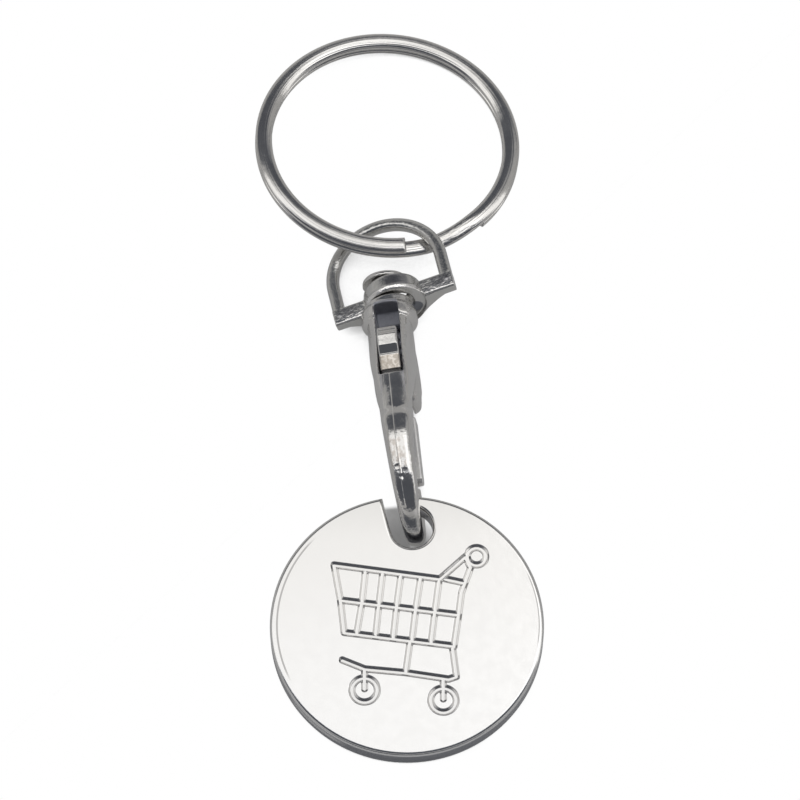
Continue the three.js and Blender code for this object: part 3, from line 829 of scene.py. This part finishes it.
castTint = (0.80, 0.79, 0.775)
hookNickel = nickel("cast hook nickel", hookSeat, castTint, 0.14, 0.05, stainsAndPaintedLight=slotShadeAndSmudge,
                    relief=hookRelief)
seated(makeHook(), hookSeat, "hook", ["hook_body"], hookNickel)
loopNickel = nickel("cast loop nickel", loopSeat, (0.72, 0.715, 0.70), 0.16, 0.07, grain=0.012,
                    stainsAndPaintedLight=loopMottleShadeAndSheen)
seated(makeLoop(), loopSeat, "loop", ["swivel_loop"], loopNickel)


# lever
lever = {"thick": 1.76, "gateWide": 2.3, "gateFrom": .445, "edge": 0.16, "bore": 0.58,
         "voxel": 0.055, "smooth": 3}

# round the lever's side view, along and up as shares of the hook's size
leverRows = [
    (.385, .068), (.700, .066), (.716, .090), (.723, .130), (.720, .190), (.706, .222), (.460, .262),
    (.423, .360), (.384, .600), (.352, .800), (.349, .904), (.292, .918), (.287, .924), (.283, .916),
    (.252, .966), (.207, .975), (.205, .963), (.194, .957), (.192, .944), (.179, .938), (.177, .926),
    (.167, .920), (.168, .900), (.173, .880), (.207, .780), (.262, .650), (.298, .480), (.324, .300),
    (.330, .160),
]


def bevelled(name, outline, wide, edge, steps=3):
    # a side view pulled across x, its rim rounded by drawing the outline in towards both faces
    outline = np.array(outline)
    area = np.sum(outline[:, 0] * np.roll(outline[:, 1], -1) - np.roll(outline[:, 0], -1) * outline[:, 1])
    before, after = np.roll(outline, 1, 0), np.roll(outline, -1, 0)
    first = (outline - before) / np.linalg.norm(outline - before, axis=1)[:, None]
    second = (after - outline) / np.linalg.norm(after - outline, axis=1)[:, None]
    mean = first + second
    mean = mean / np.linalg.norm(mean, axis=1)[:, None]
    inwards = np.stack([-mean[:, 1], mean[:, 0]], 1) * np.sign(area)
    rings = []
    for side in (-1, 1):
        turns = [90 * k / steps for k in range(steps + 1)]
        for turn in (turns if side < 0 else turns[::-1]):
            inset = edge * (1 - math.sin(math.radians(turn)))
            x = side * (wide / 2 - edge * (1 - math.cos(math.radians(turn))))
            rings.append([(x, *(p + q * inset)) for p, q in zip(outline, inwards)])
    return loft(name, rings)


def makeLever():
    outline = [(down(along), up(height)) for along, height in leverRows]
    plate = bevelled("plate", outline, lever["thick"], lever["edge"])
    edge = down(lever["gateFrom"])
    gate = [p for p in outline if p[0] <= edge]
    gate += [(edge, gate[-1][1]), (edge, gate[0][1])]
    wide = bevelled("gate", gate, lever["gateWide"], lever["edge"])
    return cast("lever_casting", [plate, wide], [pivotBore(lever["bore"])], lever["voxel"], lever["smooth"])


def leverWearAndSheen(x, y, z):
    # where thumbs rub, the plate has worn warm and dull in patches, and it is darker brown towards its left
    # side; the gate is duller, and its paler colour is a painted sheen
    worn = y.inside(-7.95, -6.7, 0.08) * z.step(3.3, 3.5)
    patches = noiseAt((x, y, z), 2.2, 3.0, distortion=0.6)
    left = 1 - x.step(-0.65, 0.1)
    # painted sheen: the gate is coloured paler than the plate, with a rougher finish
    gate = 1 - z.step(-0.6, 0.2)
    return [(gate, (0.92, 0.915, 0.90), 0.36), (worn * 0.8, (0.80, 0.74, 0.67), 0.2),
            (worn * left * 0.6, (0.52, 0.48, 0.43), 0.2),
            (worn * patches.step(0.42, 0.56) * 0.6, (0.50, 0.44, 0.38), 0.3)]


leverNickel = nickel("cast lever nickel", hookSeat, castTint, 0.14, 0.022, stainsAndPaintedLight=leverWearAndSheen)
seated(makeLever(), hookSeat, "lever", ["gate_lever"], leverNickel)


# the hidden pin, with a small turned edge at both ends, and the spring that shuts the gate
pin = {"radius": 0.5, "long": 3.526, "edge": 0.08}
spring = {"diameter": 1.4, "wire": 0.26, "curls": 6, "steps": 40, "sides": 14,
          "from": -1.7688, "to": -7.0248, "height": -0.55, "keep": 0.52, "dip": -0.105}


def makePin():
    half, r, e = pin["long"] / 2, pin["radius"], pin["edge"]
    profile = [(0.01, -half), *arc(r - e, e - half, e, -90, 0, 4), *arc(r - e, half - e, e, 0, 90, 4),
               (0.01, half)]
    mesh = turned("pin", profile, 40)
    mesh.transform(Matrix.Translation((0, *hook["pivot"])) @ turnBy(90, "Z"))
    return objectOf("pivot_steel", mesh)


def makeSpring():
    mid = (spring["diameter"] - spring["wire"]) / 2
    wire = spring["wire"]
    start, end = spring["from"] - wire, spring["to"] + wire
    count = spring["curls"] * spring["steps"]
    line = [(mid * math.cos(a), start + (end - start) * k / count, spring["height"] + mid * math.sin(a))
            for k, a in enumerate(np.linspace(0, spring["curls"] * 2 * math.pi, count + 1))]
    line = [(line[0][0], spring["from"], line[0][2]), *line, (line[-1][0], spring["to"], line[-1][2])]
    line = [Vector(p) for p in line]
    side = Vector((1, 0, 0))
    rings = []
    for k, p in enumerate(line):
        along = (line[min(k + 1, len(line) - 1)] - line[max(k - 1, 0)]).normalized()
        side = (side - along * side.dot(along)).normalized()
        lift = along.cross(side)
        rings.append([p + side * (wire / 2 * math.cos(a)) + lift * (wire / 2 * math.sin(a))
                      for a in np.arange(spring["sides"]) * 2 * math.pi / spring["sides"]])
    return objectOf("spring_coil", loft("spring", rings))


pinSteel = nickel("pin steel", hookSeat, (0.62, 0.62, 0.61), 0.28, 0.01)
springSteel = nickel("spring steel", hookSeat, (0.52, 0.52, 0.53), 0.32, 0.02)
seated(makePin(), hookSeat, "hook", ["pivot_pin"], pinSteel)
coil = seated(makeSpring(), hookSeat, "hook", ["gate_spring"], springSteel)
# which way the open lever would press the coil, shorter and a little down along the floor of the slot, and
# where the coil starts; the coil is then given a mesh of its own
push = (hookSeat.to_3x3() @ Vector((0, 1, spring["dip"]))).normalized()
rootOfCoil = hookSeat @ Vector((0, spring["from"], spring["height"])) / 1000
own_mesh(coil)
